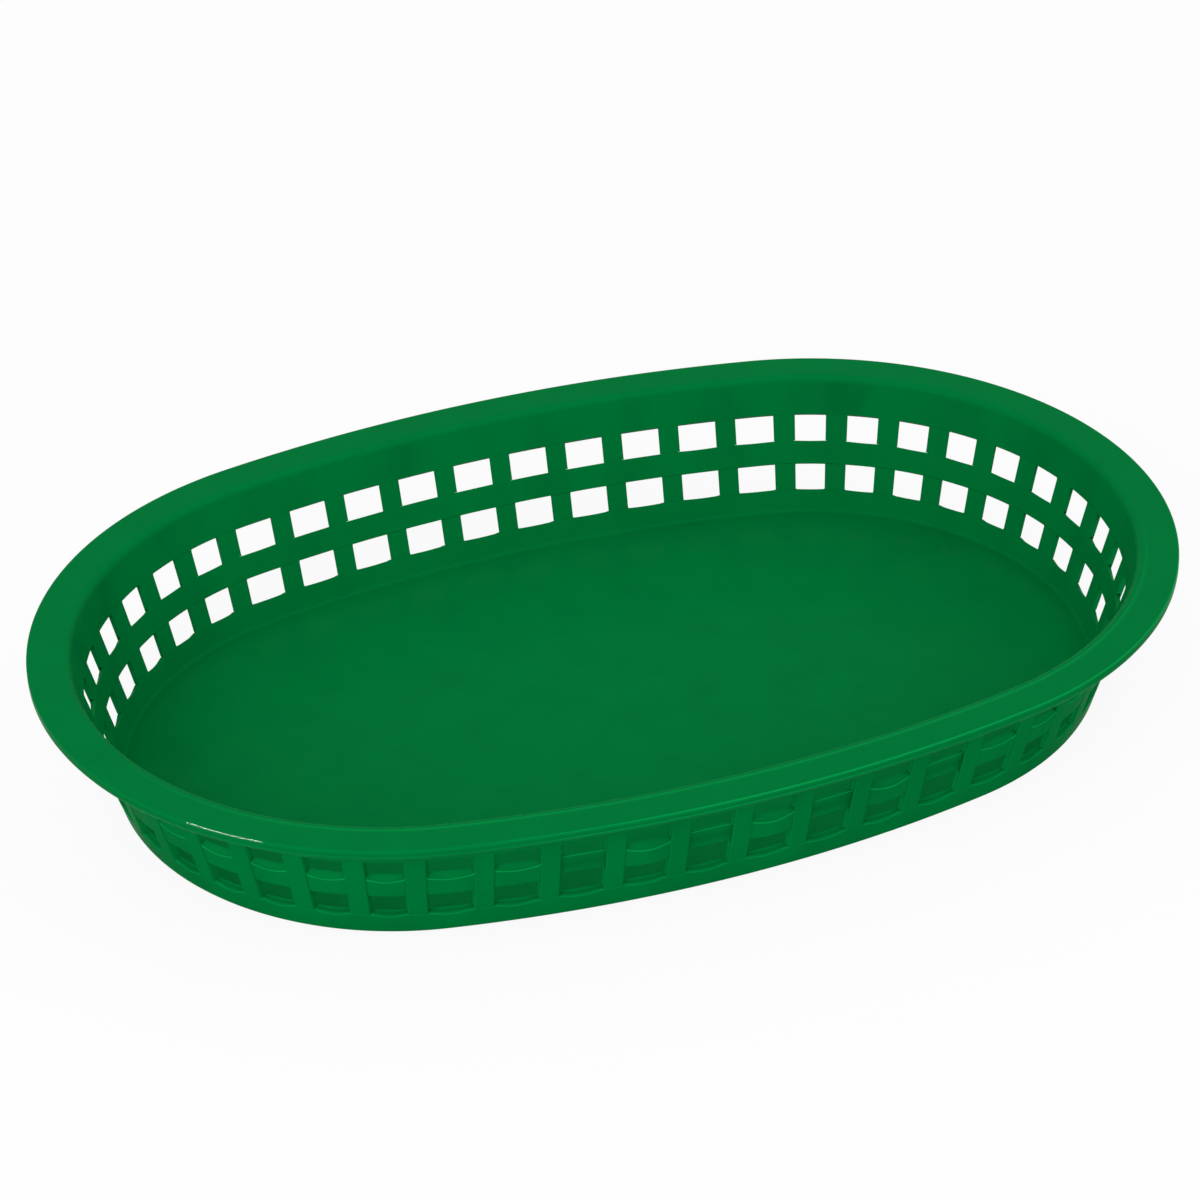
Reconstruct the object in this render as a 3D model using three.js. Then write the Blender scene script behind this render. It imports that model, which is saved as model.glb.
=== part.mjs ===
// Oval platter basket for serving food: a shallow open tray with a lattice wall and a flat rolled-out rim.
// The real basket is one moulding in glossy polypropylene. Here each member of that moulding is its own
// solid: the floor, the corner round it, the scalloped band, the woven hoop, 48 posts, the collar and the rim.
// Millimetres, +Z up, +X along the length. The origin is the middle of the underside.

import * as THREE from 'three';

// Outline of the whole basket, over the rim
const OVERALL_LENGTH = 273;
const OVERALL_WIDTH = 182.7;
const OVERALL_HEIGHT = 35.1;
// How far each long side bows out beyond a straight line between the round ends
const SIDE_BOW = 5.4;
// The wall leans outwards by this much, so that baskets nest
const WALL_LEAN_DEG = 15.6;

// Rim: a flat flange with a short lip turned down round its edge
const RIM_WIDTH = 9.6;
const FLANGE_THICKNESS = 1.5;
const LIP_THICKNESS = 1.2;
const LIP_DROP = 1.1;
const RIM_INNER_ROUND = 1.4;
const RIM_OUTER_ROUND = 0.5;

// Floor and the corner where it turns up into the wall
const FLOOR_THICKNESS = 1.3;
const CORNER_HEIGHT = 2.6;
const CORNER_RADIUS = 1.5;
const CORNER_FILLET = 0.8;
const CORNER_FOOT_WIDTH = 2;

// Heights up the wall, from the underside
const SCALLOPED_BAND_TOP = 6.9;
const LOWER_HOLE_HEIGHT = 6.4;
const HOOP_HEIGHT = 5.9;
const UPPER_HOLE_HEIGHT = 6.6;

// Posts: depths are measured outwards from the inside face of the wall, which is smooth all round
const POST_DEPTH = 1.6;
const POST_BACK_WIDTH = 5.2;
const POST_FACE_WIDTH = 4.2;

// The ledges of the band, hoop and collar fall away outwards by these heights, and more in the middle of a cell
const BAND_TOP_FALL = 0.7;
const BAND_SCALLOP = 0.8;
const HOOP_TOP_FALL = 1.3;
const HOOP_SCALLOP = 0.7;
const HOOP_UNDERSIDE_FALL = 0.9;
const COLLAR_UNDERSIDE_FALL = 1.7;

// Hoop: thin behind the posts, turned out beside each of them, and swollen past them where it is woven
const HOOP_THICKNESS = 0.8;
const HOOP_TURN_OUT = 0.5;
const HOOP_SWELL = 0.6;

// The collar's face stands out past the posts below it
const COLLAR_PROUD = 0.2;

// Cells of the lattice: ten wide ones along each side, fourteen narrower ones round each end
const SIDE_CELLS = 10;
const END_CELLS = 14;
const SIDE_CELL_PITCH = 14.4;

// Facets: steps in a quarter of the smooth rings, and in each cell of the lattice
const SIDE_STEPS = 4;
const END_STEPS = 14;
const CELL_STEPS = 4;

const PLASTIC_GREEN = 0x006f34;

const leanPerHeight = Math.tan(THREE.MathUtils.degToRad(WALL_LEAN_DEG));
const collarDepth = POST_DEPTH + COLLAR_PROUD;
const flangeUnderside = OVERALL_HEIGHT - FLANGE_THICKNESS;
const hoopBottom = SCALLOPED_BAND_TOP + LOWER_HOLE_HEIGHT;
const hoopTop = hoopBottom + HOOP_HEIGHT;
const collarBottom = hoopTop + UPPER_HOLE_HEIGHT;

// Inset of the wall's inside face from the rim's outer edge, at a height
function wallInset(z) {
  return RIM_WIDTH + (OVERALL_HEIGHT - z) * leanPerHeight;
}

// The plan is an oval of four arcs that meet smoothly: a large radius on each side and a small one at each end.
// Every outline is parallel to the rim's outer edge, so an inset shortens both radii alike.
function ovalArcs(inset) {
  const halfWidth = OVERALL_WIDTH / 2 - inset;
  const endRadius = halfWidth - SIDE_BOW;
  const endCentre = OVERALL_LENGTH / 2 - inset - endRadius;
  const sideRadius = (endCentre ** 2 + halfWidth ** 2 - endRadius ** 2) / (2 * SIDE_BOW);
  const turn = Math.asin(endCentre / (sideRadius - endRadius));
  return { halfWidth, endRadius, endCentre, sideRadius, turn };
}

// Point of an outline where its outward normal stands at an angle, from +Y towards +X
function planPoint(angle, inset) {
  const arcs = ovalArcs(inset);
  const alongX = Math.sin(angle);
  const alongY = Math.cos(angle);
  if (Math.abs(alongX) <= Math.sin(arcs.turn)) {
    const sideCentre = Math.sign(alongY) * (arcs.halfWidth - arcs.sideRadius);
    return [arcs.sideRadius * alongX, sideCentre + arcs.sideRadius * alongY];
  }
  return [Math.sign(alongX) * arcs.endCentre + arcs.endRadius * alongX, arcs.endRadius * alongY];
}

// The lattice is set out by distance along the inside of the wall, at the top of the scalloped band
const latticeArcs = ovalArcs(wallInset(SCALLOPED_BAND_TOP));
const sideArcLength = latticeArcs.sideRadius * latticeArcs.turn;
const quarterLength = sideArcLength + latticeArcs.endRadius * (Math.PI / 2 - latticeArcs.turn);
const cellsPerHalf = SIDE_CELLS + END_CELLS;
const postCount = 2 * cellsPerHalf;
const sideRun = (SIDE_CELLS / 2) * SIDE_CELL_PITCH;
const endCellPitch = (quarterLength - sideRun) / (END_CELLS / 2);

// Normal angle at a distance from the middle of the back, going towards +X and on round the basket
function angleAtDistance(distance) {
  const quarter = Math.floor(distance / quarterLength);
  const past = distance - quarter * quarterLength;
  const fromSide = quarter % 2 === 0 ? past : quarterLength - past;
  const onSide = fromSide <= sideArcLength;
  const turned = onSide
    ? fromSide / latticeArcs.sideRadius
    : latticeArcs.turn + (fromSide - sideArcLength) / latticeArcs.endRadius;
  return quarter % 2 === 0 ? (quarter * Math.PI) / 2 + turned : ((quarter + 1) * Math.PI) / 2 - turned;
}

// Distance of a post's middle round the basket. Post 0 is in the middle of the back.
function postDistance(post) {
  const half = Math.floor(post / cellsPerHalf);
  const step = post - half * cellsPerHalf;
  const stepsFromSide = Math.min(step, cellsPerHalf - step);
  const sideSteps = Math.min(stepsFromSide, SIDE_CELLS / 2);
  const run = sideSteps * SIDE_CELL_PITCH + (stepsFromSide - sideSteps) * endCellPitch;
  const fromStart = step <= cellsPerHalf / 2 ? run : 2 * quarterLength - run;
  return half * 2 * quarterLength + fromStart;
}

// Stations of the smooth rings, evenly turned along each arc
function smoothStations() {
  const stations = [];
  const turn = latticeArcs.turn;
  for (let half = 0; half < 2; half += 1) {
    const middle = half * Math.PI;
    for (let step = -SIDE_STEPS; step < SIDE_STEPS; step += 1) {
      stations.push({ angle: middle + (turn * step) / SIDE_STEPS });
    }
    for (let step = 0; step < 2 * END_STEPS; step += 1) {
      stations.push({ angle: middle + turn + ((Math.PI / 2 - turn) * step) / END_STEPS });
    }
  }
  return stations;
}

// How the hoop runs in the cell after a post: -1 behind the posts, 1 swollen out past them, 0 flush with them.
// It is woven only along the middle of each side.
function hoopWeave(post) {
  const place = (post + SIDE_CELLS / 2) % cellsPerHalf;
  if (place === 0 || place >= SIDE_CELLS - 2) {
    return 0;
  }
  return place % 2 === 1 ? -1 : 1;
}

// Stations of the lattice: both edges of each post, and between them steps across the cell.
// arch is 0 at the posts and 1 in the middle of a cell.
function latticeStations() {
  const stations = [];
  for (let post = 0; post < postCount; post += 1) {
    const cellStart = postDistance(post) + POST_BACK_WIDTH / 2;
    const cellWidth = postDistance(post + 1) - POST_BACK_WIDTH / 2 - cellStart;
    const edge = HOOP_TURN_OUT / cellWidth;
    for (let step = -1; step <= CELL_STEPS + 1; step += 1) {
      const inCell = step >= 0 && step <= CELL_STEPS;
      const across = THREE.MathUtils.clamp(THREE.MathUtils.lerp(edge, 1 - edge, step / CELL_STEPS), 0, 1);
      const arch = inCell ? Math.sin(Math.PI * across) : 0;
      const angle = angleAtDistance(cellStart + cellWidth * across);
      stations.push({ angle, arch, inCell, weave: hoopWeave(post) });
    }
  }
  return stations;
}

// Skins rows of points that have as many points each: round into a ring, or closed at either end by a cap
// whose triangles are given as corner numbers
function loft(rows, capTriangles) {
  const count = rows[0].length;
  const triangles = [];
  const spans = capTriangles ? rows.length - 1 : rows.length;
  for (let row = 0; row < spans; row += 1) {
    const here = row * count;
    const next = ((row + 1) % rows.length) * count;
    for (let corner = 0; corner < count; corner += 1) {
      const after = (corner + 1) % count;
      triangles.push(here + corner, next + corner, next + after);
      triangles.push(here + corner, next + after, here + after);
    }
  }
  if (capTriangles) {
    const last = (rows.length - 1) * count;
    capTriangles.forEach(([a, b, c]) => triangles.push(a, c, b, last + a, last + b, last + c));
  }
  const geometry = new THREE.BufferGeometry();
  geometry.setAttribute('position', new THREE.Float32BufferAttribute(rows.flat(2), 3));
  geometry.setIndex(triangles);
  geometry.computeVertexNormals();
  return geometry;
}

// A ring round the basket whose cross-section is a list of [inset, height] corners at each station.
// The corners run from the inside up, over and down the outside.
function ring(stations, section) {
  const rows = stations.map((station) =>
    section(station).map(([inset, z]) => [...planPoint(station.angle, inset), z]));
  return loft(rows);
}

function greenPlastic() {
  return new THREE.MeshStandardMaterial({ color: PLASTIC_GREEN, roughness: 0.28, metalness: 0 });
}

const basket = new THREE.Group();

function addMember(name, geometry) {
  const mesh = new THREE.Mesh(geometry, greenPlastic());
  mesh.name = name;
  basket.add(mesh);
}

// Outer corner of the base: the posts' faces run on down to a quarter round that meets the underside
const cornerOuterInset = wallInset(CORNER_RADIUS) - POST_DEPTH;
const cornerFootInset = cornerOuterInset + CORNER_RADIUS + CORNER_FOOT_WIDTH;

// Flat floor, flush with the corner ring on both faces
function floorPanel() {
  const outline = new THREE.Shape();
  smoothStations().forEach((station, index) => {
    const [x, y] = planPoint(station.angle, cornerFootInset);
    if (index === 0) {
      outline.moveTo(x, y);
    } else {
      outline.lineTo(x, y);
    }
  });
  outline.closePath();
  return new THREE.ExtrudeGeometry(outline, { depth: FLOOR_THICKNESS, bevelEnabled: false });
}

// Corner ring between the floor and the wall, with a fillet inside and a quarter round outside
function baseCorner() {
  const midRound = CORNER_RADIUS * (1 - Math.SQRT1_2);
  return ring(smoothStations(), () => [
    [cornerFootInset, 0],
    [cornerFootInset, FLOOR_THICKNESS],
    [wallInset(FLOOR_THICKNESS) + CORNER_FILLET, FLOOR_THICKNESS],
    [wallInset(CORNER_HEIGHT), CORNER_HEIGHT],
    [wallInset(CORNER_HEIGHT) - POST_DEPTH, CORNER_HEIGHT],
    [cornerOuterInset, CORNER_RADIUS],
    [cornerOuterInset + midRound, midRound],
    [cornerOuterInset + CORNER_RADIUS, 0],
  ]);
}

// Band along the foot of the wall, flush with the posts that stand on it. Its outer top edge dips in each cell.
function scallopedBand() {
  return ring(latticeStations(), ({ arch }) => {
    const outerTop = SCALLOPED_BAND_TOP - BAND_TOP_FALL - BAND_SCALLOP * arch;
    return [
      [wallInset(CORNER_HEIGHT), CORNER_HEIGHT],
      [wallInset(SCALLOPED_BAND_TOP), SCALLOPED_BAND_TOP],
      [wallInset(outerTop) - POST_DEPTH, outerTop],
      [wallInset(CORNER_HEIGHT) - POST_DEPTH, CORNER_HEIGHT],
    ];
  });
}

// Middle hoop. It passes behind the posts as a thin strip. Between them it stands out flush with their faces,
// and along the middle of each side it is woven: it stays back in one cell and swells out in the next.
function wovenHoop() {
  return ring(latticeStations(), ({ arch, inCell, weave }) => {
    const standsOut = inCell && weave >= 0;
    const depth = standsOut ? POST_DEPTH + Math.abs(weave) * HOOP_SWELL * arch : HOOP_THICKNESS;
    const outerTop = standsOut ? hoopTop - HOOP_TOP_FALL - HOOP_SCALLOP * arch : hoopTop;
    const outerBottom = standsOut ? hoopBottom - HOOP_UNDERSIDE_FALL : hoopBottom;
    return [
      [wallInset(hoopBottom), hoopBottom],
      [wallInset(hoopTop), hoopTop],
      [wallInset(outerTop) - depth, outerTop],
      [wallInset(outerBottom) - depth, outerBottom],
    ];
  });
}

// Plain collar between the upper holes and the flange, a little prouder than the posts below it
function collar() {
  const outerBottom = collarBottom - COLLAR_UNDERSIDE_FALL;
  return ring(latticeStations(), () => [
    [wallInset(collarBottom), collarBottom],
    [wallInset(flangeUnderside), flangeUnderside],
    [wallInset(flangeUnderside) - collarDepth, flangeUnderside],
    [wallInset(outerBottom) - collarDepth, outerBottom],
  ]);
}

// Flat flange with a rounded inner edge, and the lip that stiffens its outer edge
function rim() {
  const innerRoundFoot = OVERALL_HEIGHT - RIM_INNER_ROUND;
  const lipFoot = flangeUnderside - LIP_DROP;
  const innerMid = RIM_INNER_ROUND * (1 - Math.SQRT1_2);
  const outerMid = RIM_OUTER_ROUND * (1 - Math.SQRT1_2);
  return ring(smoothStations(), () => [
    [wallInset(flangeUnderside), flangeUnderside],
    [wallInset(innerRoundFoot), innerRoundFoot],
    [RIM_WIDTH - innerMid, OVERALL_HEIGHT - innerMid],
    [RIM_WIDTH - RIM_INNER_ROUND, OVERALL_HEIGHT],
    [RIM_OUTER_ROUND, OVERALL_HEIGHT],
    [outerMid, OVERALL_HEIGHT - outerMid],
    [0, OVERALL_HEIGHT - RIM_OUTER_ROUND],
    [0, lipFoot],
    [LIP_THICKNESS, lipFoot],
    [LIP_THICKNESS, flangeUnderside],
  ]);
}

// One flat-faced post, from the scalloped band up to the collar, with tapered sides and a notch in its back
// that the hoop passes through. Its profile is a list of [depth, height] corners. Both its ends slope with the
// ledges that they meet, and it lies along the same straight facet as they do.
function post(index) {
  const profile = [
    [0, SCALLOPED_BAND_TOP],
    [0, hoopBottom],
    [HOOP_THICKNESS, hoopBottom],
    [HOOP_THICKNESS, hoopTop],
    [0, hoopTop],
    [0, collarBottom],
    [POST_DEPTH, collarBottom - (COLLAR_UNDERSIDE_FALL * POST_DEPTH) / collarDepth],
    [POST_DEPTH, SCALLOPED_BAND_TOP - BAND_TOP_FALL],
  ];
  const corners = profile.map(([depth, z]) => new THREE.Vector2(depth, z));
  const capTriangles = THREE.ShapeUtils.triangulateShape(corners, []);
  const middle = postDistance(index);
  const edgeAngles = [-1, 1].map((side) => angleAtDistance(middle + (side * POST_BACK_WIDTH) / 2));
  const sides = [-1, 1].map((side) => profile.map(([depth, z]) => {
    const width = THREE.MathUtils.lerp(POST_BACK_WIDTH, POST_FACE_WIDTH, depth / POST_DEPTH);
    const inset = wallInset(z) - depth;
    const [start, end] = edgeAngles.map((angle) => new THREE.Vector2(...planPoint(angle, inset)));
    start.lerp(end, 0.5 + (side * width) / (2 * POST_BACK_WIDTH));
    return [start.x, start.y, z];
  }));
  return loft(sides, capTriangles);
}

addMember('floor_panel', floorPanel());
addMember('base_corner', baseCorner());
addMember('scalloped_band', scallopedBand());
addMember('woven_hoop', wovenHoop());
addMember('collar', collar());
addMember('rim', rim());
for (let index = 0; index < postCount; index += 1) {
  addMember(`post_${String(index + 1).padStart(2, '0')}`, post(index));
}

export default basket;
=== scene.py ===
"""Oval platter basket: the look of one glossy green moulding, member by member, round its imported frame."""

import cmath
import math

import bmesh
import bpy
from mathutils import Matrix, Vector


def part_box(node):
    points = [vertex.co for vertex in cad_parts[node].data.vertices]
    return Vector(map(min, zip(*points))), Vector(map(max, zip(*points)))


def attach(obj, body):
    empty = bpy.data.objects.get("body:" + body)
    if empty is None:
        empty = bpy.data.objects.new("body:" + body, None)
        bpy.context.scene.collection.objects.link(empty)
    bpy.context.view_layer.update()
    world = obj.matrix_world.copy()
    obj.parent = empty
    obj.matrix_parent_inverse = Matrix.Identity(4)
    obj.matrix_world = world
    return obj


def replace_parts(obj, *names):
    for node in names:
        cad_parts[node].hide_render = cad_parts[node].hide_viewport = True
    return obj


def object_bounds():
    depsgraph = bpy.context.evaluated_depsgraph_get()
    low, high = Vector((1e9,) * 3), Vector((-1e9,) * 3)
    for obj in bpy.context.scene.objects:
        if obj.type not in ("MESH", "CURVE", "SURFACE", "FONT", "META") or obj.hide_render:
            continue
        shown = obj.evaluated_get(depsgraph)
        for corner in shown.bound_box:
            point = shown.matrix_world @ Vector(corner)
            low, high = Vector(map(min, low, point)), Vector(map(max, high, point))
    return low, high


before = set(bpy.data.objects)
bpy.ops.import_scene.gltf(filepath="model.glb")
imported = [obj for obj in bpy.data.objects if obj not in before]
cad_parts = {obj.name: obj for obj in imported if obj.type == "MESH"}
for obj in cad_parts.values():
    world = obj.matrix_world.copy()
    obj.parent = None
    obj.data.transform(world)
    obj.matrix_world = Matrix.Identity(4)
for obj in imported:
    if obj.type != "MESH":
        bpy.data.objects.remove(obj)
cad_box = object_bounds()


# Plastic
# The whole basket is one moulding in polypropylene coloured right through. The mould gives it a smooth skin
# with faint flow marks. The skin mirrors far less than real plastic, because white mirrored in it turned the
# green milky. So highlights along edges are painted in paler green, as painted highlights, and shade in
# grooves and recesses in darker green, as painted shade. The amounts below say how much paler (above 0) or
# darker (below 0) each place is painted. The basket shows no real wear or dirt.
MM = 0.001
FRESH_GREEN = (0.0, 0.166, 0.0355, 1)
FLOW_GREEN = (0.0, 0.138, 0.031, 1)
PAINTED_HIGHLIGHT_GREEN = (0.003, 0.30, 0.062, 1)
PAINTED_SHADE_GREEN = (0.0, 0.085, 0.018, 1)
PLASTIC_IOR = 1.49
SKIN_SHINE = 0.005
DULL_SHINE = 0.0005
SHINE_TINT = (0.1, 1.0, 0.45, 1)

# Marks of the skin. Flow marks and scuffs show where their noise lies between two levels. The photograph
# shows only the streaks on the collar. The other marks are guesses.
FLOW_MARKS_PER_METRE = 70
FLOW_MARKS_UPRIGHT = (1, 1, 0.35)
FLOW_SHOWS = (0.42, 0.72)
SCUFFS_PER_METRE = 160
SCUFFS_SHOW = (0.35, 0.75)
SCUFF_DULLING = 0.25
RIPPLES_PER_METRE = 45
RIPPLE_HEIGHT = 0.2 * MM
RIPPLE_STRENGTH = 0.2
PEEL_PER_METRE = 900
PEEL_HEIGHT = 0.02 * MM
PEEL_STRENGTH = 0.15


def link(tree, source, output, target, socket):
    tree.links.new(source.outputs[output], target.inputs[socket])


def noise(tree, place, scale, detail, stretch=(1, 1, 1)):
    """A noise of so many marks to the metre, drawn out along any side whose stretch is below 1."""
    mapping = tree.nodes.new("ShaderNodeMapping")
    mapping.inputs["Scale"].default_value = stretch
    link(tree, place, "Object", mapping, "Vector")
    marks = tree.nodes.new("ShaderNodeTexNoise")
    marks.inputs["Scale"].default_value = scale
    marks.inputs["Detail"].default_value = detail
    link(tree, mapping, "Vector", marks, "Vector")
    return marks


def spread(tree, source, output, low, high, to_low, to_high):
    """Opens the range low to high of a node's output out to another range."""
    opened = tree.nodes.new("ShaderNodeMapRange")
    for socket, value in (("From Min", low), ("From Max", high), ("To Min", to_low), ("To Max", to_high)):
        opened.inputs[socket].default_value = value
    link(tree, source, output, opened, "Value")
    return opened


def colour_out(node):
    return next(out for out in node.outputs if out.type == "RGBA")


def bumped(tree, marks, height, strength):
    """Raises the marks of a noise to a height, as a bump of the skin."""
    bump = tree.nodes.new("ShaderNodeBump")
    bump.inputs["Strength"].default_value = strength
    bump.inputs["Distance"].default_value = height
    link(tree, marks, "Fac", bump, "Height")
    return bump


def blended(tree, amount, first, second):
    """Blends from the first colour to the second. Each is a fixed colour or a node that gives one."""
    mix = tree.nodes.new("ShaderNodeMix")
    mix.data_type = "RGBA"
    link(tree, amount, "Result", mix, "Factor")
    for socket, colour in (("A", first), ("B", second)):
        port = next(port for port in mix.inputs if port.name == socket and port.type == "RGBA")
        if isinstance(colour, tuple):
            port.default_value = colour
        else:
            tree.links.new(colour_out(colour), port)
    return mix


def green_polypropylene(name, gloss, flow, scuffs, shine=SKIN_SHINE, tint=SHINE_TINT):
    """The moulded plastic. gloss is the skin's roughness, flow and scuffs say how much of each shows, shine
    is how strongly the skin mirrors (0.5 is as real plastic does), and tint is the colour that it gives to
    what it mirrors."""
    material = bpy.data.materials.new(name)
    material.use_nodes = True
    tree = material.node_tree
    plastic = tree.nodes["Principled BSDF"]
    plastic.inputs["IOR"].default_value = PLASTIC_IOR
    plastic.inputs["Specular IOR Level"].default_value = shine
    plastic.inputs["Specular Tint"].default_value = tint
    place = tree.nodes.new("ShaderNodeTexCoord")

    streaks = noise(tree, place, FLOW_MARKS_PER_METRE, detail=3, stretch=FLOW_MARKS_UPRIGHT)
    flow_amount = spread(tree, streaks, "Fac", *FLOW_SHOWS, 0, flow)
    body_colour = blended(tree, flow_amount, FRESH_GREEN, FLOW_GREEN)

    # Painted light: an attribute of the mesh says where the colour is painted paler, as a painted highlight,
    # above 0, or darker, as painted shade, below 0.
    edge = tree.nodes.new("ShaderNodeAttribute")
    edge.attribute_name = "painted_light_layer"
    paler = spread(tree, edge, "Fac", 0, 1, 0, 1)
    darker = spread(tree, edge, "Fac", 0, -1, 0, 1)
    edged_colour = blended(tree, paler, body_colour, PAINTED_HIGHLIGHT_GREEN)
    colour = blended(tree, darker, edged_colour, PAINTED_SHADE_GREEN)
    tree.links.new(colour_out(colour), plastic.inputs["Base Color"])

    handling = noise(tree, place, SCUFFS_PER_METRE, detail=6)
    dulling = spread(tree, handling, "Fac", *SCUFFS_SHOW, gloss, gloss + SCUFF_DULLING * scuffs)
    link(tree, dulling, "Result", plastic, "Roughness")

    waves = bumped(tree, noise(tree, place, RIPPLES_PER_METRE, detail=2), RIPPLE_HEIGHT, RIPPLE_STRENGTH)
    peel = bumped(tree, noise(tree, place, PEEL_PER_METRE, detail=2), PEEL_HEIGHT, PEEL_STRENGTH)
    link(tree, waves, "Normal", peel, "Normal")
    link(tree, peel, "Normal", plastic, "Normal")
    return material


# Floor
# The flat middle of the moulding, which the basket stands on. It is one even sheet, smooth on both faces,
# and the wall's corner grows out of its edge.
SIDE_BOW = 5.4 * MM
RIM_WIDTH = 9.6 * MM
WALL_LEAN = math.radians(15.6)
POST_FACE_DEPTH = 1.6 * MM
SIDE_CELLS = 10
END_CELLS = 14
SIDE_CELL_PITCH = 14.4 * MM
POST_BACK_WIDTH = 5.2 * MM
CELL_STEPS = 12
POST_STEPS = 4
ROUND_STEPS = 4
FLOOR_RINGS = 8
SHARP_EDGE = math.radians(38)
MERGE_DISTANCE = 0.0001 * MM

low_corner, high_corner = (Vector(corner) for corner in cad_box)
basket_length = high_corner.x - low_corner.x
basket_width = high_corner.y - low_corner.y
basket_height = high_corner.z - low_corner.z
floor_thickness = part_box("floor_panel")[1][2]
corner_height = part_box("base_corner")[1][2]
band_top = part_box("scalloped_band")[1][2]
CORNER_RADIUS = 1.5 * MM
CORNER_FOOT_WIDTH = 2.0 * MM


def wall_inset(z):
    """How far the wall's inside face lies in from the rim's outer edge, at a height."""
    return RIM_WIDTH + (basket_height - z) * math.tan(WALL_LEAN)


def oval_arcs(inset):
    """The four arcs of the plan, parallel to the rim's outer edge: half width, end radius and its centre,
    side radius, and the angle at which the arcs meet."""
    half_width = basket_width / 2 - inset
    end_radius = half_width - SIDE_BOW
    end_centre = basket_length / 2 - inset - end_radius
    side_radius = (end_centre ** 2 + half_width ** 2 - end_radius ** 2) / (2 * SIDE_BOW)
    meeting = math.asin(end_centre / (side_radius - end_radius))
    return half_width, end_radius, end_centre, side_radius, meeting


def plan_point(angle, inset):
    """The point of an outline where its outward normal stands at an angle, from +Y towards +X."""
    half_width, end_radius, end_centre, side_radius, meeting = oval_arcs(inset)
    along_x, along_y = math.sin(angle), math.cos(angle)
    if abs(along_x) <= math.sin(meeting):
        side_centre = math.copysign(side_radius - half_width, -along_y)
        return side_radius * along_x, side_centre + side_radius * along_y
    return math.copysign(end_centre, along_x) + end_radius * along_x, end_radius * along_y


_, lattice_end_radius, _, lattice_side_radius, lattice_meeting = oval_arcs(wall_inset(band_top))
side_arc_length = lattice_side_radius * lattice_meeting
quarter_length = side_arc_length + lattice_end_radius * (math.pi / 2 - lattice_meeting)
round_length = 4 * quarter_length
cells_per_half = SIDE_CELLS + END_CELLS
post_count = 2 * cells_per_half
side_run = SIDE_CELLS / 2 * SIDE_CELL_PITCH
end_cell_pitch = (quarter_length - side_run) / (END_CELLS / 2)


def angle_at_distance(distance):
    """The outline's normal angle at a distance round the lattice from the middle of the back."""
    quarter, past = divmod(distance, quarter_length)
    from_side = past if quarter % 2 == 0 else quarter_length - past
    if from_side <= side_arc_length:
        turned = from_side / lattice_side_radius
    else:
        turned = lattice_meeting + (from_side - side_arc_length) / lattice_end_radius
    return quarter * math.pi / 2 + turned if quarter % 2 == 0 else (quarter + 1) * math.pi / 2 - turned


def post_distance(post):
    """How far round the lattice the middle of a post is. Post 0 is in the middle of the back."""
    half, step = divmod(post, cells_per_half)
    steps_from_side = min(step, cells_per_half - step)
    side_steps = min(steps_from_side, SIDE_CELLS / 2)
    run = side_steps * SIDE_CELL_PITCH + (steps_from_side - side_steps) * end_cell_pitch
    return half * 2 * quarter_length + (run if step <= cells_per_half / 2 else 2 * quarter_length - run)


# Where the cross-sections stand: (normal angle, arch, cell). arch is 0 at the posts and 1 in the middle of a
# cell. The cell's number is None behind a post.
stations = []
for post in range(post_count):
    cell_start = post_distance(post) + POST_BACK_WIDTH / 2
    cell_length = post_distance(post + 1) - POST_BACK_WIDTH / 2 - cell_start
    for step in range(POST_STEPS):
        distance = cell_start - POST_BACK_WIDTH * (1 - step / POST_STEPS)
        cell = (post - 1) % post_count if step == 0 else None
        stations.append((angle_at_distance(distance % round_length), 0.0, cell))
    for step in range(CELL_STEPS):
        across = (1 - math.cos(math.pi * step / CELL_STEPS)) / 2
        arch = math.sin(math.pi * across)
        stations.append((angle_at_distance(cell_start + cell_length * across), arch, post))


def moulded(name, shape, material):
    """Turns a finished mesh into one smooth piece of the plastic that rides on the basket."""
    bmesh.ops.recalc_face_normals(shape, faces=shape.faces)
    mesh = bpy.data.meshes.new(name)
    shape.to_mesh(mesh)
    shape.free()
    mesh.shade_smooth()
    mesh.set_sharp_from_angle(angle=SHARP_EDGE)
    mesh.materials.append(material)
    piece = bpy.data.objects.new(name, mesh)
    bpy.context.scene.collection.objects.link(piece)
    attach(piece, "root")
    return piece


def skinned(name, rows, closed, material):
    """Skins rows of (x, y, z, painted light) points, closed round into a ring or capped at both ends.
    Painted light above 0 is a painted highlight, and below 0 painted shade.
    """
    shape = bmesh.new()
    painted_light_layer = shape.verts.layers.float.new("painted_light_layer")
    grid = [[shape.verts.new(point[:3]) for point in row] for row in rows]
    for vertices, row in zip(grid, rows):
        for vertex, (_, _, _, painted_light) in zip(vertices, row):
            vertex[painted_light_layer] = painted_light
    for here, after in zip(grid, grid[1:] + grid[:1] if closed else grid[1:]):
        for a, b, c, d in zip(here, after, after[1:] + after[:1], here[1:] + here[:1]):
            shape.faces.new((a, b, c, d))
    if not closed:
        shape.faces.new(grid[0])
        shape.faces.new(grid[-1][::-1])
    bmesh.ops.remove_doubles(shape, verts=shape.verts, dist=MERGE_DISTANCE)
    return moulded(name, shape, material)


foot_inset = wall_inset(CORNER_RADIUS) - POST_FACE_DEPTH + CORNER_RADIUS + CORNER_FOOT_WIDTH
floor_plastic = green_polypropylene("floor_plastic", gloss=0.16, flow=0.4, scuffs=0.6)


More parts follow.
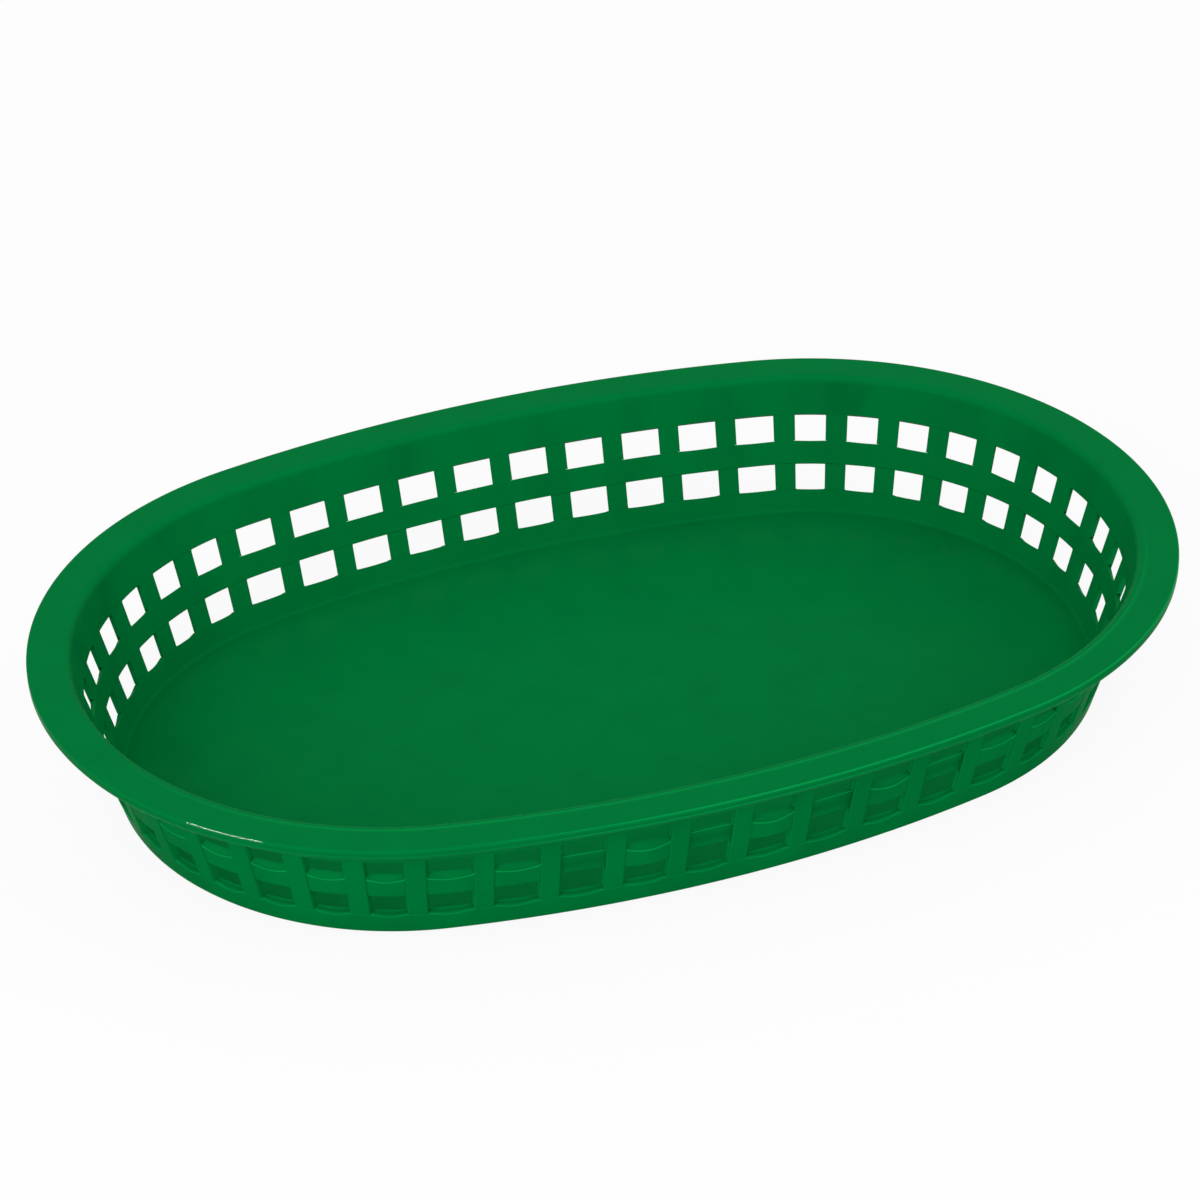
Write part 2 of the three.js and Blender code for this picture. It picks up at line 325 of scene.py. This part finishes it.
def floor_sheet():
    """Rings of the floor's outline drawn in towards a middle point, over the top and back underneath."""
    outline = [Vector(plan_point(angle, foot_inset)) for angle, _, _ in stations]
    shares = [(FLOOR_RINGS - ring) / FLOOR_RINGS for ring in range(FLOOR_RINGS)]
    shape = bmesh.new()
    sheets = []
    for z in (0.0, floor_thickness):
        rings = [[shape.verts.new((*(share * point), z)) for point in outline] for share in shares]
        middle = shape.verts.new((0, 0, z))
        for here, inner in zip(rings, rings[1:]):
            for a, b, c, d in zip(here, here[1:] + here[:1], inner[1:] + inner[:1], inner):
                shape.faces.new((a, b, c, d))
        for a, b in zip(rings[-1], rings[-1][1:] + rings[-1][:1]):
            shape.faces.new((a, b, middle))
        sheets.append(rings[0])
    for a, b, c, d in zip(sheets[0], sheets[0][1:] + sheets[0][:1], sheets[1][1:] + sheets[1][:1], sheets[1]):
        shape.faces.new((a, b, c, d))
    return moulded("floor_sheet", shape, floor_plastic)


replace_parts(floor_sheet(), "floor_panel")


# Corner between floor and wall
# A ring of the same moulding. Outside it turns under in a small round that the basket rests inside of,
# painted paler as a painted highlight, and inside it has the fillet, painted darker round the floor as
# painted shade.
INNER_FILLET = 0.9 * MM
FILLET_PAINTED_SHADE = -0.15
FOOT_ROUND_HIGHLIGHT = 0.2
FLAT_STRIP = 0.15
wall_plastic = green_polypropylene("wall_plastic", gloss=0.2, flow=0.8, scuffs=0.4, shine=DULL_SHINE)


def rounded(corners):
    """A cross-section through corners of (inset, height, radius, painted light), each corner rounded to its
    radius. Its points are pairs of place and painted light. A short straight strip on both sides of a round
    keeps the flat faces' shading flat. Radius 0 is sharp, or a place on a flat face that has its own painted
    light. Painted light above 0 is a painted highlight in paler green, and below 0 painted shade in darker
    green."""
    points = []
    for index, (inset, z, radius, painted_light) in enumerate(corners):
        corner = complex(inset, z)
        if radius == 0:
            points.append((corner, painted_light))
            continue
        before = complex(*corners[index - 1][:2]) - corner
        after = complex(*corners[(index + 1) % len(corners)][:2]) - corner
        before /= abs(before)
        after /= abs(after)
        half_angle = abs(cmath.phase(after / before)) / 2
        reach = radius / math.tan(half_angle)
        centre = corner + (before + after) / abs(before + after) * radius / math.sin(half_angle)
        start = corner + before * reach - centre
        turn = cmath.phase((corner + after * reach - centre) / start)
        strip = radius * FLAT_STRIP
        points.append((corner + before * (reach + strip), 0.0))
        for step in range(ROUND_STEPS + 1):
            along = step / ROUND_STEPS
            points.append((centre + start * cmath.exp(1j * turn * along), painted_light * math.sin(math.pi * along)))
        points.append((corner + after * (reach + strip), 0.0))
    return points


def ring(name, section, material):
    """A ring of plastic whose cross-section of (inset, height, radius, painted light) may change along
    the lattice.
    """
    rows = []
    for angle, arch, cell in stations:
        level = rounded(section(angle, arch, cell))
        rows.append([(*plan_point(angle, point.real), point.imag, painted_light) for point, painted_light in level])
    return skinned(name, rows, True, material)


def corner_section(angle, arch, cell):
    face_foot = wall_inset(0) - POST_FACE_DEPTH
    return [
        (foot_inset, 0, 0, 0),
        (foot_inset, floor_thickness, 0, 0),
        (wall_inset(floor_thickness), floor_thickness, INNER_FILLET, FILLET_PAINTED_SHADE),
        (wall_inset(corner_height), corner_height, 0, 0),
        (wall_inset(corner_height) - POST_FACE_DEPTH, corner_height, 0, 0),
        (face_foot, 0, CORNER_RADIUS, FOOT_ROUND_HIGHLIGHT),
    ]


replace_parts(ring("turned_foot", corner_section, wall_plastic), "base_corner")


# Scalloped band
# The strip along the foot of the wall. Inside it is smooth. Its top slopes down outwards, and the outer edge
# dips between each pair of posts, so that it draws a shallow scallop in every cell.
BAND_TOP_FALL = 0.7 * MM
BAND_SCALLOP = 0.8 * MM
WINDOW_ROUND = 0.15 * MM
LEDGE_ROUND = 0.45 * MM
# The middle of the band's sloping top is painted darker, as painted shade, and its outer edge paler, as a
# painted highlight.
BAND_LEDGE_SHADE = -0.7
BAND_EDGE_HIGHLIGHT = 0.35


def band_section(angle, arch, cell):
    outer_top = band_top - BAND_TOP_FALL - BAND_SCALLOP * arch
    ledge_middle = (band_top + outer_top) / 2
    return [
        (wall_inset(corner_height), corner_height, 0, 0),
        (wall_inset(band_top), band_top, WINDOW_ROUND, 0),
        (wall_inset(ledge_middle) - POST_FACE_DEPTH / 2, ledge_middle, 0, BAND_LEDGE_SHADE),
        (wall_inset(outer_top) - POST_FACE_DEPTH, outer_top, LEDGE_ROUND, BAND_EDGE_HIGHLIGHT),
        (wall_inset(corner_height) - POST_FACE_DEPTH, corner_height, 0, 0),
    ]


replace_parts(ring("scalloped_strip", band_section, wall_plastic), "scalloped_band")


# Woven hoop
# The middle strand, which passes behind the posts and stands out flush with their faces between them. Along
# the middle of each side it is woven: it lies back in one cell and swells out past the posts in the next.
HOOP_TOP_FALL = 1.3 * MM
HOOP_SCALLOP = 0.7 * MM
HOOP_UNDERSIDE_FALL = 0.9 * MM
HOOP_POST_DEPTH = 1.2 * MM
HOOP_BACK_DEPTH = 0.7 * MM
HOOP_BACK_FALL = 0.5 * MM
HOOP_SWELL = 0.6 * MM
HOOP_BACK_ROUND = 0.3 * MM
HOOP_LEDGE_ROUND = 0.5 * MM
# Painted highlights: the window edges and the strand's ledge, top edge and underside are painted paler.
# Painted shade: where the strand lies back, its face is painted darker.
WINDOW_EDGE_HIGHLIGHT = 0.2
HOOP_LEDGE_HIGHLIGHT = 0.1
HOOP_EDGE_HIGHLIGHT = 0.8
HOOP_UNDERSIDE_HIGHLIGHT = 0.5
HOOP_BACK_SHADE = -0.4
hoop_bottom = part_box("woven_hoop")[0][2] + HOOP_UNDERSIDE_FALL
hoop_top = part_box("woven_hoop")[1][2]


def hoop_weave(cell):
    """-1 where the strand lies back, 1 where it swells out, and 0 where it is flush with the posts."""
    place = (cell + SIDE_CELLS // 2) % cells_per_half
    if place == 0 or place >= SIDE_CELLS - 2:
        return 0
    return -1 if place % 2 == 1 else 1


def hoop_section(angle, arch, cell):
    weave = -1 if cell is None else hoop_weave(cell)
    if cell is None:
        depth, top_fall, underside_fall = HOOP_POST_DEPTH, HOOP_BACK_FALL, 0
    elif weave < 0:
        depth, top_fall, underside_fall = HOOP_BACK_DEPTH, HOOP_BACK_FALL, 0
    else:
        depth = POST_FACE_DEPTH + weave * HOOP_SWELL * arch
        top_fall = HOOP_TOP_FALL + HOOP_SCALLOP * arch
        underside_fall = HOOP_UNDERSIDE_FALL
    outer_top, outer_bottom = hoop_top - top_fall, hoop_bottom - underside_fall
    ledge_middle, face_middle = (hoop_top + outer_top) / 2, (outer_top + outer_bottom) / 2
    # Where the strand lies back, its face gets painted shade.
    ledge_round, face_shade = (HOOP_BACK_ROUND, HOOP_BACK_SHADE) if weave < 0 else (HOOP_LEDGE_ROUND, 0)
    return [
        (wall_inset(hoop_bottom), hoop_bottom, WINDOW_ROUND, WINDOW_EDGE_HIGHLIGHT),
        (wall_inset(hoop_top), hoop_top, WINDOW_ROUND, WINDOW_EDGE_HIGHLIGHT),
        (wall_inset(ledge_middle) - depth / 2, ledge_middle, 0, HOOP_LEDGE_HIGHLIGHT),
        (wall_inset(outer_top) - depth, outer_top, ledge_round, HOOP_EDGE_HIGHLIGHT),
        (wall_inset(face_middle) - depth, face_middle, 0, face_shade),
        (wall_inset(outer_bottom) - depth, outer_bottom, HOOP_BACK_ROUND, HOOP_UNDERSIDE_HIGHLIGHT),
    ]


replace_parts(ring("middle_strand", hoop_section, wall_plastic), "woven_hoop")


# Collar
# The plain strip between the upper openings and the rim. It stands a little prouder than the posts, and its
# underside slopes down outwards over their tops.
COLLAR_DEPTH = 1.8 * MM
COLLAR_FOOT_DEPTH = 2.2 * MM
COLLAR_FULL_FALL = 1.7 * MM
COLLAR_UNDERSIDE_FALL = 1.4 * MM
# Both edges of the collar's underside are painted paler, as painted highlights.
COLLAR_EDGE_HIGHLIGHT = 0.3
collar_lowest, flange_underside = (corner[2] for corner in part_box("collar"))
collar_bottom = collar_lowest + COLLAR_FULL_FALL
collar_foot = collar_bottom - COLLAR_UNDERSIDE_FALL
collar_plastic = green_polypropylene("collar_plastic", gloss=0.2, flow=1.0, scuffs=0.4, shine=DULL_SHINE)


def collar_section(angle, arch, cell):
    return [
        (wall_inset(collar_bottom), collar_bottom, WINDOW_ROUND, WINDOW_EDGE_HIGHLIGHT),
        (wall_inset(flange_underside), flange_underside, 0, 0),
        (wall_inset(flange_underside) - COLLAR_DEPTH, flange_underside, 0, 0),
        (wall_inset(collar_foot) - COLLAR_FOOT_DEPTH, collar_foot, WINDOW_ROUND, COLLAR_EDGE_HIGHLIGHT),
    ]


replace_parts(ring("plain_collar", collar_section, collar_plastic), "collar")


# Rim
# A flat flange to lift the basket by. Its inner edge rolls over from the collar, and a short lip turned down
# round its outer edge keeps it stiff. In the photograph, light draws pale lines on its edges along the front,
# and a short glint on the outer edge at the front left. Here the lines are painted, and the glint is a
# reflection in a stretch of the edge that mirrors as real plastic does.
RIM_INNER_ROUND = 1.65 * MM
RIM_OUTER_ROUND = 0.4 * MM
LIP_THICKNESS = 1.2 * MM
LIP_FOOT_ROUND = 0.8 * MM
LIP_INNER_ROUND = 0.15 * MM
RIM_INNER_HIGHLIGHT = 0.1
INNER_LINE_HIGHLIGHT = 0.55
INNER_LINE_FROM_EDGE = 1.75 * MM
INNER_LINE_END = 2.7 * MM
OUTER_LINE_HIGHLIGHT = 0.7
LIP_LINE_HIGHLIGHT = 0.6
LIP_LINE_RISE = 1.0 * MM
# The lip's face under the outer edge and its foot are painted darker, as painted shade.
LIP_SHADE = -0.4
LIP_SHADE_RISE = 1.35 * MM

# The painted lines come in from nothing at the first of two places to full strength at the second.
FRONT_FADES_IN = (20 * MM, 85 * MM)
OUTER_LINE_FROM_LEFT = (-70 * MM, -5 * MM)
OUTER_LINE_FROM_MIDDLE = (0, 60 * MM)
LIP_LINE_FROM_LEFT = (-60 * MM, -40 * MM)
LIP_LINE_FROM_RIGHT = (50 * MM, 20 * MM)

# The stretch of the outer edge that mirrors the glint, along X, and how far up its faces look.
POLISHED_STRETCH = (-118 * MM, -105.5 * MM)
POLISHED_SLOPE = (0.1, 0.98)

lip_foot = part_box("rim")[0][2]
rim_plastic = green_polypropylene("rim_plastic", gloss=0.18, flow=0.3, scuffs=0.8)
polished_plastic = green_polypropylene(
    "polished_plastic", gloss=0.12, flow=0.3, scuffs=0.2, shine=0.5, tint=(1, 1, 1, 1)
)


def portion(value, low, high):
    """How far a value lies between two bounds, from 0 to 1."""
    return min(max((value - low) / (high - low), 0.0), 1.0)


def rim_section(angle, arch, cell):
    x, y = plan_point(angle, 0)
    front = portion(-y, *FRONT_FADES_IN)
    outer_line = portion(x, *OUTER_LINE_FROM_LEFT) * portion(-y, *OUTER_LINE_FROM_MIDDLE)
    lip_line = portion(x, *LIP_LINE_FROM_LEFT) * portion(x, *LIP_LINE_FROM_RIGHT) * front
    return [
        (wall_inset(flange_underside), flange_underside, 0, 0),
        (RIM_WIDTH, basket_height, RIM_INNER_ROUND, RIM_INNER_HIGHLIGHT * front),
        (RIM_WIDTH - INNER_LINE_FROM_EDGE, basket_height, 0, INNER_LINE_HIGHLIGHT * front),
        (RIM_WIDTH - INNER_LINE_END, basket_height, 0, 0),
        (0, basket_height, RIM_OUTER_ROUND, OUTER_LINE_HIGHLIGHT * outer_line),
        (0, lip_foot + LIP_SHADE_RISE, 0, LIP_SHADE),
        (0, lip_foot + LIP_LINE_RISE, 0, LIP_LINE_HIGHLIGHT * lip_line),
        (0, lip_foot, LIP_FOOT_ROUND, LIP_SHADE),
        (LIP_THICKNESS, lip_foot, LIP_INNER_ROUND, 0),
        (LIP_THICKNESS, flange_underside, 0, 0),
    ]


rolled_rim = ring("rolled_rim", rim_section, rim_plastic)
rolled_rim.data.materials.append(polished_plastic)
for face in rolled_rim.data.polygons:
    middle, facing = face.center, face.normal
    faces_out = middle.to_2d().dot(facing.to_2d()) > 0
    on_outer_edge = faces_out and POLISHED_SLOPE[0] < facing.z < POLISHED_SLOPE[1]
    if on_outer_edge and POLISHED_STRETCH[0] < middle.x < POLISHED_STRETCH[1] and middle.y < 0:
        face.material_index = 1
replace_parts(rolled_rim, "rim")


# Posts
# Forty-eight flat-faced uprights, part of the same moulding. They taper towards the outside so that the mould
# lets go, stand on the band, pass outside the strand and end under the collar. Seen from outside, the left
# side of every post is painted paler and the right side darker, for the light of the front view.
POST_PROUD_DEPTH = 1.68 * MM
POST_FACE_WIDTH = 4.2 * MM
POST_BACK_ROUND = 0.15 * MM
POST_FACE_ROUND = 0.28 * MM
CLOSED_ROUND = 0.02 * MM
POST_END_FADE = 0.4 * MM
# Painted highlight on each post's left side and face corner, and painted shade on its right.
BRIGHT_SIDE_HIGHLIGHT = 0.3
BRIGHT_CORNER_HIGHLIGHT = 0.25
DARK_SIDE_SHADE = -0.3
post_plastic = green_polypropylene("post_plastic", gloss=0.2, flow=0.5, scuffs=0.5, shine=DULL_SHINE)


def post_level(middle, z, fall, back_depth, back_round):
    """One cross-section of a post, from its back, in the wall's inside face or behind the strand, to its flat
    outer face. It slopes down outwards by a fall over the post's whole depth."""
    def half_width(depth):
        return (POST_BACK_WIDTH + (POST_FACE_WIDTH - POST_BACK_WIDTH) * depth / POST_PROUD_DEPTH) / 2

    def across(depth, steps):
        return [(depth, half_width(depth) * step / POST_STEPS * 2, 0, 0) for step in steps]

    inner_steps = range(1 - POST_STEPS // 2, POST_STEPS // 2)
    side_depth = (back_depth + POST_PROUD_DEPTH) / 2
    back, side, face = half_width(back_depth), half_width(side_depth), half_width(POST_PROUD_DEPTH)
    corners = [(back_depth, -back, back_round, 0)]
    corners += across(back_depth, inner_steps)
    corners.append((back_depth, back, back_round, 0))
    corners.append((side_depth, side, 0, BRIGHT_SIDE_HIGHLIGHT))
    corners.append((POST_PROUD_DEPTH, face, POST_FACE_ROUND, BRIGHT_CORNER_HIGHLIGHT))
    corners += across(POST_PROUD_DEPTH, reversed(inner_steps))
    corners.append((POST_PROUD_DEPTH, -face, POST_FACE_ROUND, DARK_SIDE_SHADE))
    corners.append((side_depth, -side, 0, DARK_SIDE_SHADE))
    level = []
    for point, painted_light in rounded(corners):
        depth, sideways = point.real, point.imag
        angle = angle_at_distance((middle + sideways) % round_length)
        height = z - fall * depth / POST_PROUD_DEPTH
        level.append((*plan_point(angle, wall_inset(height) - depth), height, painted_light))
    return level


# A post's levels from foot to top: (height, fall, depth of its back, round of its back's corners). The strand
# lies in the notch between the deeper ones.
top_fall = COLLAR_UNDERSIDE_FALL * POST_PROUD_DEPTH / COLLAR_FOOT_DEPTH
post_levels = [
    (band_top, BAND_TOP_FALL, 0, CLOSED_ROUND),
    (band_top + POST_END_FADE, BAND_TOP_FALL, 0, POST_BACK_ROUND),
    (hoop_bottom - POST_END_FADE, 0, 0, POST_BACK_ROUND),
    (hoop_bottom, 0, 0, CLOSED_ROUND),
    (hoop_bottom, 0, HOOP_POST_DEPTH, CLOSED_ROUND),
    (hoop_top, 0, HOOP_POST_DEPTH, CLOSED_ROUND),
    (hoop_top, 0, 0, CLOSED_ROUND),
    (hoop_top + POST_END_FADE, 0, 0, POST_BACK_ROUND),
    (collar_bottom - POST_END_FADE, top_fall, 0, POST_BACK_ROUND),
    (collar_bottom, top_fall, 0, CLOSED_ROUND),
]
for post in range(post_count):
    levels = [post_level(post_distance(post), *level) for level in post_levels]
    upright = skinned(f"upright_{post + 1:02d}", levels, False, post_plastic)
    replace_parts(upright, f"post_{post + 1:02d}")


# Table
# A plain surface that runs out of sight. It glows nearly white to the camera, like the photograph's
# background, and keeps only a trace of the basket's soft shadow.
TABLE_HALF_SIDE = 4.0
TABLE_WHITE = (0.85, 0.85, 0.85, 1)
table_mesh = bpy.data.meshes.new("table")
table_corners = [(-1, -1), (1, -1), (1, 1), (-1, 1)]
table_points = [(x * TABLE_HALF_SIDE, y * TABLE_HALF_SIDE, 0) for x, y in table_corners]
table_mesh.from_pydata(table_points, [], [(0, 1, 2, 3)])
table = bpy.data.objects.new("table", table_mesh)
bpy.context.scene.collection.objects.link(table)
table_finish = bpy.data.materials.new("table_finish")
table_finish.use_nodes = True
table_tree = table_finish.node_tree
table_paint = table_tree.nodes["Principled BSDF"]
table_paint.inputs["Base Color"].default_value = TABLE_WHITE
table_paint.inputs["Roughness"].default_value = 0.9
table_paint.inputs["Specular IOR Level"].default_value = 0.0


def seen_directly(tree):
    """1 for rays from the camera and for what gloss and glass show of the surroundings, otherwise 0."""
    path = tree.nodes.new("ShaderNodeLightPath")
    total = None
    for output in ("Is Camera Ray", "Is Glossy Ray", "Is Transmission Ray"):
        if total is None:
            total = path.outputs[output]
            continue
        either = tree.nodes.new("ShaderNodeMath")
        either.operation = "MAXIMUM"
        tree.links.new(total, either.inputs[0])
        tree.links.new(path.outputs[output], either.inputs[1])
        total = either.outputs[0]
    return total


TABLE_GLOW_SHARE = 0.9
glow = table_tree.nodes.new("ShaderNodeEmission")
glow.inputs["Color"].default_value = (1, 1, 1, 1)
glow.inputs["Strength"].default_value = 1.0
share = table_tree.nodes.new("ShaderNodeMath")
share.operation = "MULTIPLY"
share.inputs[1].default_value = TABLE_GLOW_SHARE
table_tree.links.new(seen_directly(table_tree), share.inputs[0])
table_mix = table_tree.nodes.new("ShaderNodeMixShader")
table_tree.links.new(share.outputs[0], table_mix.inputs["Fac"])
table_tree.links.new(table_paint.outputs["BSDF"], table_mix.inputs[1])
table_tree.links.new(glow.outputs["Emission"], table_mix.inputs[2])
table_tree.links.new(table_mix.outputs["Shader"], table_tree.nodes["Material Output"].inputs["Surface"])
table_mesh.materials.append(table_finish)


# Studio light
# White surroundings, with one large soft lamp in front on the left and a weaker one in front on the right.
# A narrow bright strip on the left draws the short glint on the left front of the rim.
SURROUND_LIGHT = 0.79
SOFTBOX_SIZE = (0.9, 0.6)
STRIP_SIZE = (0.65, 0.04)
LEFT_SOFTBOX_PLACE = (-0.86, -0.86, 0.70)
RIGHT_SOFTBOX_PLACE = (1.0, -0.7, 0.7)
LEFT_STRIP_PLACE = (-1.283, -0.374, 0.735)
GLINT_PLACE = (-0.112, -0.06, 0.035)
world = bpy.data.worlds.new("white_surround")
bpy.context.scene.world = world
world.use_nodes = True
world_tree = world.node_tree
background = world_tree.nodes["Background"]
background.inputs["Color"].default_value = (1, 1, 1, 1)
strength = world_tree.nodes.new("ShaderNodeMapRange")
strength.inputs["To Min"].default_value = SURROUND_LIGHT
strength.inputs["To Max"].default_value = 1.0
world_tree.links.new(seen_directly(world_tree), strength.inputs["Value"])
world_tree.links.new(strength.outputs["Result"], background.inputs["Strength"])


def softbox(name, place, aim, size, watts):
    """A soft lamp at a place, turned to face a point."""
    lamp = bpy.data.lights.new(name, "AREA")
    lamp.shape = "RECTANGLE"
    lamp.size, lamp.size_y = size
    lamp.energy = watts
    holder = bpy.data.objects.new(name, lamp)
    holder.location = place
    holder.rotation_euler = (Vector(aim) - Vector(place)).to_track_quat("-Z", "Y").to_euler()
    bpy.context.scene.collection.objects.link(holder)
    return holder


softbox("left_softbox", LEFT_SOFTBOX_PLACE, aim=(0, 0, 0), size=SOFTBOX_SIZE, watts=7.8)
softbox("right_softbox", RIGHT_SOFTBOX_PLACE, aim=(0, 0, 0), size=SOFTBOX_SIZE, watts=3.2)
strip = softbox("left_strip", LEFT_STRIP_PLACE, aim=GLINT_PLACE, size=STRIP_SIZE, watts=24)
strip.visible_diffuse = False


# Camera
# A long lens from the front left and 33 degrees above, fitted to the photograph of the basket.
FRAME_PIXELS = 1200
SENSOR_WIDTH = 36.0
FOCAL_PIXELS = 4217.3
AXIS_PIXEL_X = 732.8
AZIMUTH = math.radians(-22.215)
ELEVATION = math.radians(32.808)
ROLL = math.radians(-0.338)
DISTANCE = 988.4 * MM
SLIDE_RIGHT = 27.68 * MM
SLIDE_UP = 11.91 * MM
AIM_HEIGHT = 16.07 * MM

back = Vector((
    math.sin(AZIMUTH) * math.cos(ELEVATION),
    -math.cos(AZIMUTH) * math.cos(ELEVATION),
    math.sin(ELEVATION),
))
level_right = (-back).cross(Vector((0, 0, 1))).normalized()
level_up = level_right.cross(-back)
right = level_right * math.cos(ROLL) + level_up * math.sin(ROLL)
up = level_up * math.cos(ROLL) - level_right * math.sin(ROLL)
eye = back * DISTANCE + right * SLIDE_RIGHT + up * SLIDE_UP + Vector((0, 0, AIM_HEIGHT))

camera_data = bpy.data.cameras.new("studio_camera")
camera_data.sensor_width = SENSOR_WIDTH
camera_data.lens = FOCAL_PIXELS / FRAME_PIXELS * SENSOR_WIDTH
camera_data.shift_x = (FRAME_PIXELS / 2 - AXIS_PIXEL_X) / FRAME_PIXELS
camera = bpy.data.objects.new("studio_camera", camera_data)
camera.matrix_world = Matrix((right, up, back)).transposed().to_4x4()
camera.location = eye
bpy.context.scene.collection.objects.link(camera)
bpy.context.scene.camera = camera
bpy.context.scene.view_settings.view_transform = "Standard"
